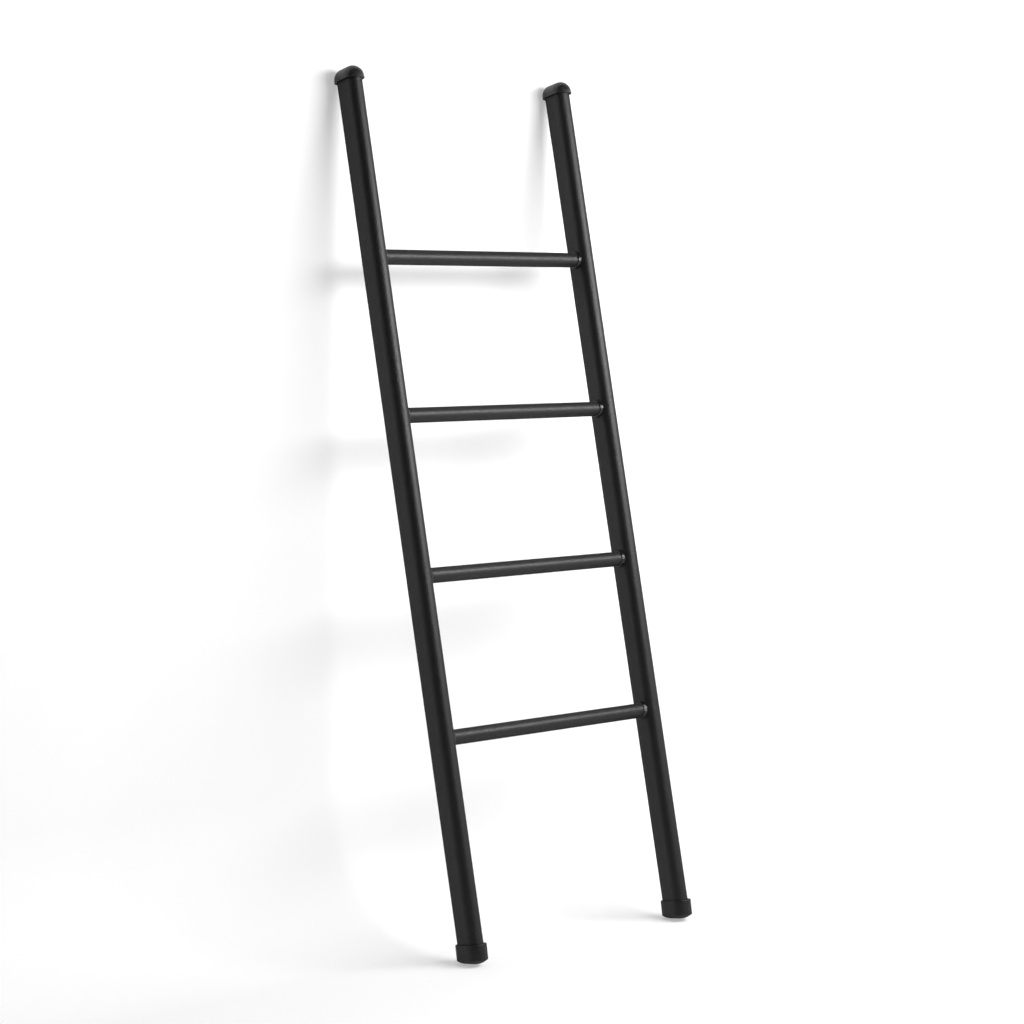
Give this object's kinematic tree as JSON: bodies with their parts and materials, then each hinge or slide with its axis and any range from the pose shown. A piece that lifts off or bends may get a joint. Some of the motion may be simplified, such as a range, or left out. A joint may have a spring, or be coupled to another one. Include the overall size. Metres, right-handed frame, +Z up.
{
  "type": "towel ladder",
  "caption": "Leaning towel ladder: oval steel rails, round rungs welded between them to hang towels on, domed end caps and rubber boots.",
  "frame": {"origin": "on the floor, at the bottom centre of the leaning ladder's box", "axes": "+Z up, +X along the rungs to the viewer's right from in front, +Y towards the wall that the caps lean on; the ladder is held in its leaning pose"},
  "size_m": [0.509, 0.3704, 1.4635],
  "materials": {
    "powder_coat": "fine-textured black powder coat on steel",
    "cap_plastic": "fine satin black moulded plastic",
    "boot_rubber": "matte black moulded rubber",
    "disc_steel": "zinc-plated steel"
  },
  "bodies": {
    "root": {"cap_left": "cap_plastic", "cap_right": "cap_plastic", "foot_disc_left": "disc_steel", "foot_disc_right": "disc_steel", "foot_left": "boot_rubber", "foot_right": "boot_rubber", "rail_left": "powder_coat", "rail_right": "powder_coat", "rung_1": "powder_coat", "rung_2": "powder_coat", "rung_3": "powder_coat", "rung_4": "powder_coat", "weld_left_1": "powder_coat", "weld_left_2": "powder_coat", "weld_left_3": "powder_coat", "weld_left_4": "powder_coat", "weld_right_1": "powder_coat", "weld_right_2": "powder_coat", "weld_right_3": "powder_coat", "weld_right_4": "powder_coat"}
  },
  "joints": []
}
